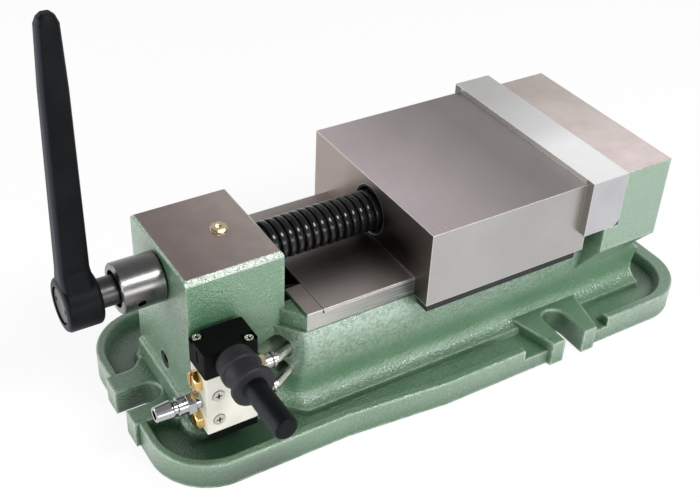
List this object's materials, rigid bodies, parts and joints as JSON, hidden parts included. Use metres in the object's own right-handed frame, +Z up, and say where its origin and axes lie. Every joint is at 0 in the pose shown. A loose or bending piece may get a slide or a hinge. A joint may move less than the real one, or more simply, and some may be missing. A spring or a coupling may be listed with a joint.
{
  "type": "angle lock machine vise",
  "caption": "Low angle lock machine vise with a hand lever on its screw, an air over oil power clamp in the base and a lever valve, on a coolant tray with bolt slots.",
  "frame": {"origin": "underside of the base, on the screw's centre line, straight below the clamping face of the fixed jaw", "axes": "+X along the screw from the hand lever towards the fixed jaw, +Z up, -Y towards the side that carries the valve"},
  "size_m": [0.465, 0.2325, 0.299],
  "materials": {
    "green_paint": "semi-gloss orange-peel enamel",
    "ground_iron": "ground",
    "jaw_steel": "ground",
    "bright_steel": "turned",
    "black_steel": "black oxide",
    "black_plastic": "fine matt",
    "rubber": "matt",
    "chrome": "polished",
    "brass": "turned",
    "bronze": "machined",
    "alloy": "machined",
    "white_alloy": "pale anodised"
  },
  "bodies": {
    "base": {"base_casting": "green_paint", "way_plate": "ground_iron", "fixed_jaw_plate": "jaw_steel", "fixed_jaw_screws": "black_steel", "nose_bush": "bronze", "oil_fill_plug": "brass", "oil_bore_plug": "black_steel", "booster_cylinder": "bright_steel", "booster_front_cap": "alloy", "booster_rear_cap": "alloy", "booster_tie_rods": "bright_steel", "valve_mounting_block": "black_plastic", "valve_body": "white_alloy", "valve_screws": "bright_steel", "valve_head": "black_plastic", "valve_head_screws": "bright_steel", "valve_end_cap": "black_plastic", "silencers": "brass", "air_coupler_plug": "chrome", "outlet_fittings": "brass", "upper_air_tube": "bright_steel", "lower_air_tube": "bright_steel"},
    "power_unit": {"power_piston": "bright_steel", "power_piston_seal": "rubber", "fixed_bearing_race": "bright_steel", "thrust_balls": "bright_steel"},
    "screw": {"turning_bearing_race": "bright_steel", "main_screw": "black_steel", "screw_collar": "bright_steel", "collar_grub_screw": "black_steel", "lever_insert": "black_steel", "lever_cap_screw": "black_steel"},
    "lever": {"lever_arm": "black_plastic"},
    "jaw": {"moving_jaw": "ground_iron", "jaw_nut": "black_steel", "angle_lock_balls": "bright_steel", "hold_down_plate": "black_steel", "hold_down_screws": "black_steel", "front_jaw_wiper": "rubber", "rear_jaw_wiper": "rubber", "jaw_wiper_screws": "black_steel", "screw_wiper_ring": "rubber"},
    "booster": {"booster_piston": "bright_steel", "booster_piston_seal": "rubber"},
    "valve_lever": {"valve_lever_rod": "bright_steel", "lever_boot": "rubber", "lever_knob": "black_plastic"},
    "spool": {"valve_spool": "bright_steel"}
  },
  "joints": [
    {"name": "booster_stroke", "type": "slide", "parent": "base", "child": "booster", "axis": [1, 0, 0], "range_m": [0, 0.06]},
    {"name": "power_stroke", "type": "slide", "parent": "base", "child": "power_unit", "axis": [1, 0, 0], "range_m": [-0.004, 0]},
    {"name": "screw_spin", "type": "hinge", "parent": "power_unit", "child": "screw", "pos_m": [-0.215, 0, 0.1128], "axis": [1, 0, 0], "range_deg": [0, 5040]},
    {"name": "jaw_slide", "type": "slide", "parent": "power_unit", "child": "jaw", "axis": [1, 0, 0], "range_m": [-0.084, 0]},
    {"name": "lever_lift", "type": "slide", "parent": "screw", "child": "lever", "axis": [1, 0, 0], "range_m": [-0.0042, 0], "stiffness_N_per_m": 1500, "springref_m": 0.003},
    {"name": "valve_lever_tilt", "type": "hinge", "parent": "base", "child": "valve_lever", "pos_m": [-0.2665, -0.066, 0.091], "axis": [1, 0, 0], "range_deg": [-10, 10]},
    {"name": "spool_slide", "type": "slide", "parent": "base", "child": "spool", "axis": [0, 0, 1], "range_m": [-0.0022, 0.0022]}
  ],
  "couplings": [
    {"joint": "power_stroke", "follows": "booster_stroke", "ratio": -0.066667},
    {"joint": "jaw_slide", "follows": "screw_spin", "m_per_rad": -0.00095493},
    {"joint": "spool_slide", "follows": "valve_lever_tilt", "m_per_rad": 0.01}
  ]
}
